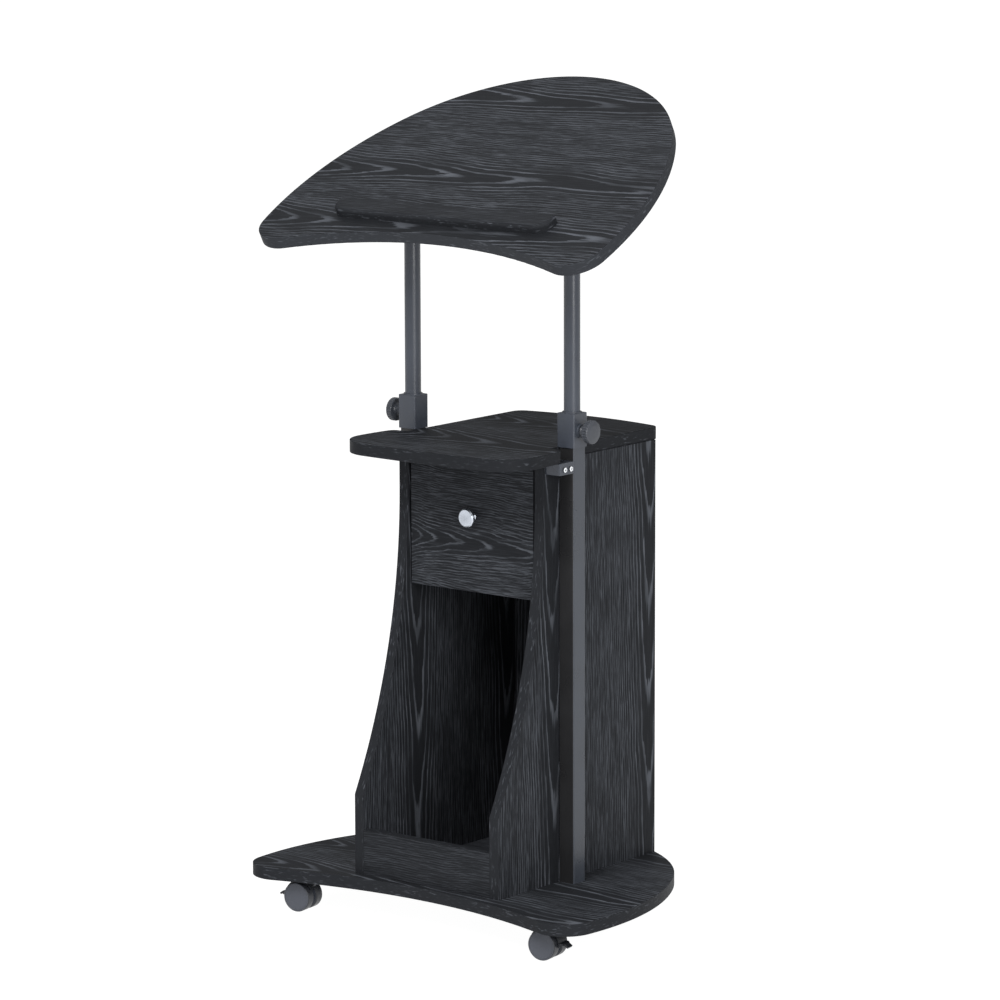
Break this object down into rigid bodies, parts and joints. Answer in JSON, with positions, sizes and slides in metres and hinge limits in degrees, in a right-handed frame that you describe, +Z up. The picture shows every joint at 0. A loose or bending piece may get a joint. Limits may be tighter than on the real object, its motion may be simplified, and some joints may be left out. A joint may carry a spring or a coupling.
{
  "type": "lectern podium",
  "caption": "Mobile lectern with a tilting leaf-shaped top on telescopic posts, a cabinet with a drawer and open storage, and a leaf-shaped base on casters.",
  "frame": {"origin": "on the floor, under the centre of the overall plan outline", "axes": "+Z up; the user stands on the -Y side, where the drawer opens; +X to the user's right"},
  "size_m": [0.5802, 0.4319, 1.1296],
  "materials": {
    "charcoal_laminate": "satin charcoal woodgrain laminate",
    "dark_board": "matt dark board",
    "grey_enamel": "satin blue-grey enamel",
    "black_enamel": "matt black enamel",
    "white_enamel": "white enamelled screw head",
    "bright_steel": "bright zinc",
    "zinc_steel": "zinc plated",
    "satin_nickel": "satin nickel",
    "dark_grey_plastic": "satin",
    "grey_plastic": "satin",
    "black_plastic": "matt"
  },
  "bodies": {
    "cart": {"base_plate": "charcoal_laminate", "side_panel_left": "charcoal_laminate", "side_panel_right": "charcoal_laminate", "back_panel": "charcoal_laminate", "shelf_board": "charcoal_laminate", "kick_rail": "charcoal_laminate", "outer_tube_left": "grey_enamel", "outer_tube_right": "grey_enamel", "tube_collar_left": "dark_grey_plastic", "tube_collar_right": "dark_grey_plastic", "wing_bracket_left": "grey_enamel", "wing_bracket_right": "grey_enamel", "bracket_screw_left_front": "white_enamel", "bracket_screw_left_rear": "white_enamel", "bracket_screw_right_front": "white_enamel", "bracket_screw_right_rear": "white_enamel", "drawer_rail_left": "zinc_steel", "drawer_rail_right": "zinc_steel", "caster_stem_front_left": "zinc_steel", "caster_stem_front_right": "zinc_steel", "caster_stem_rear_left": "zinc_steel", "caster_stem_rear_right": "zinc_steel"},
    "drawer": {"drawer_front": "charcoal_laminate", "drawer_side_left": "dark_board", "drawer_side_right": "dark_board", "drawer_back": "dark_board", "drawer_bottom": "dark_board", "drawer_knob": "satin_nickel", "drawer_slide_left": "zinc_steel", "drawer_slide_right": "zinc_steel"},
    "mast": {"inner_tube_left": "grey_enamel", "inner_tube_right": "grey_enamel", "hinge_lug_left": "grey_enamel", "hinge_lug_right": "grey_enamel", "pivot_bolt_left": "bright_steel", "pivot_bolt_right": "bright_steel"},
    "top": {"top_plate": "charcoal_laminate", "book_ledge": "charcoal_laminate", "tilt_bracket_left": "black_enamel", "tilt_bracket_right": "black_enamel"},
    "clamp_knob_left": {"clamp_knob_left": "dark_grey_plastic"},
    "clamp_knob_right": {"clamp_knob_right": "dark_grey_plastic"},
    "caster_front_left": {"caster_hood_front_left": "black_plastic", "caster_axle_front_left": "zinc_steel"},
    "wheel_front_left_a": {"wheel_front_left_a": "grey_plastic"},
    "wheel_front_left_b": {"wheel_front_left_b": "grey_plastic"},
    "caster_front_right": {"caster_hood_front_right": "black_plastic", "caster_axle_front_right": "zinc_steel"},
    "wheel_front_right_a": {"wheel_front_right_a": "grey_plastic"},
    "wheel_front_right_b": {"wheel_front_right_b": "grey_plastic"},
    "caster_rear_left": {"caster_hood_rear_left": "black_plastic", "caster_axle_rear_left": "zinc_steel"},
    "wheel_rear_left_a": {"wheel_rear_left_a": "grey_plastic"},
    "wheel_rear_left_b": {"wheel_rear_left_b": "grey_plastic"},
    "caster_rear_right": {"caster_hood_rear_right": "black_plastic", "caster_axle_rear_right": "zinc_steel"},
    "wheel_rear_right_a": {"wheel_rear_right_a": "grey_plastic"},
    "wheel_rear_right_b": {"wheel_rear_right_b": "grey_plastic"},
    "brake_front_left": {"brake_lever_front_left": "black_plastic"},
    "brake_front_right": {"brake_lever_front_right": "black_plastic"}
  },
  "joints": [
    {"name": "mast_lift", "type": "slide", "parent": "cart", "child": "mast", "axis": [0, 0, 1], "range_m": [-0.2, 0.12]},
    {"name": "top_tilt", "type": "hinge", "parent": "mast", "child": "top", "pos_m": [0, -0.0182, 0.9745], "axis": [1, 0, 0], "range_deg": [-28.2, 10]},
    {"name": "drawer_slide", "type": "slide", "parent": "cart", "child": "drawer", "axis": [0, -1, 0], "range_m": [0, 0.15]},
    {"name": "clamp_turn_left", "type": "hinge", "parent": "cart", "child": "clamp_knob_left", "pos_m": [-0.16, -0.0182, 0.6805], "axis": [-1, 0, 0], "range_deg": [0, 270]},
    {"name": "clamp_turn_right", "type": "hinge", "parent": "cart", "child": "clamp_knob_right", "pos_m": [0.16, -0.0182, 0.6805], "axis": [1, 0, 0], "range_deg": [0, 270]},
    {"name": "swivel_front_left", "type": "hinge", "parent": "cart", "child": "caster_front_left", "pos_m": [-0.198, -0.169, 0.038], "axis": [0, 0, 1], "continuous": true},
    {"name": "spin_front_left_a", "type": "hinge", "parent": "caster_front_left", "child": "wheel_front_left_a", "pos_m": [-0.21186, -0.17095, 0.0203], "axis": [0.1392, -0.9903, 0], "continuous": true},
    {"name": "spin_front_left_b", "type": "hinge", "parent": "caster_front_left", "child": "wheel_front_left_b", "pos_m": [-0.21186, -0.17095, 0.0203], "axis": [0.1392, -0.9903, 0], "continuous": true},
    {"name": "swivel_front_right", "type": "hinge", "parent": "cart", "child": "caster_front_right", "pos_m": [0.198, -0.169, 0.038], "axis": [0, 0, 1], "continuous": true},
    {"name": "spin_front_right_a", "type": "hinge", "parent": "caster_front_right", "child": "wheel_front_right_a", "pos_m": [0.21186, -0.16705, 0.0203], "axis": [-0.1392, 0.9903, 0], "continuous": true},
    {"name": "spin_front_right_b", "type": "hinge", "parent": "caster_front_right", "child": "wheel_front_right_b", "pos_m": [0.21186, -0.16705, 0.0203], "axis": [-0.1392, 0.9903, 0], "continuous": true},
    {"name": "swivel_rear_left", "type": "hinge", "parent": "cart", "child": "caster_rear_left", "pos_m": [-0.13, 0.13, 0.038], "axis": [0, 0, 1], "continuous": true},
    {"name": "spin_rear_left_a", "type": "hinge", "parent": "caster_rear_left", "child": "wheel_rear_left_a", "pos_m": [-0.144, 0.13, 0.0203], "axis": [0, -1, 0], "continuous": true},
    {"name": "spin_rear_left_b", "type": "hinge", "parent": "caster_rear_left", "child": "wheel_rear_left_b", "pos_m": [-0.144, 0.13, 0.0203], "axis": [0, -1, 0], "continuous": true},
    {"name": "swivel_rear_right", "type": "hinge", "parent": "cart", "child": "caster_rear_right", "pos_m": [0.13, 0.13, 0.038], "axis": [0, 0, 1], "continuous": true},
    {"name": "spin_rear_right_a", "type": "hinge", "parent": "caster_rear_right", "child": "wheel_rear_right_a", "pos_m": [0.144, 0.13, 0.0203], "axis": [0, 1, 0], "continuous": true},
    {"name": "spin_rear_right_b", "type": "hinge", "parent": "caster_rear_right", "child": "wheel_rear_right_b", "pos_m": [0.144, 0.13, 0.0203], "axis": [0, 1, 0], "continuous": true},
    {"name": "brake_press_front_left", "type": "hinge", "parent": "caster_front_left", "child": "brake_front_left", "pos_m": [-0.23695, -0.17447, 0.02207], "axis": [0.1392, -0.9903, 0], "range_deg": [0, 15]},
    {"name": "brake_press_front_right", "type": "hinge", "parent": "caster_front_right", "child": "brake_front_right", "pos_m": [0.23695, -0.16353, 0.02207], "axis": [-0.1392, 0.9903, 0], "range_deg": [0, 15]}
  ]
}
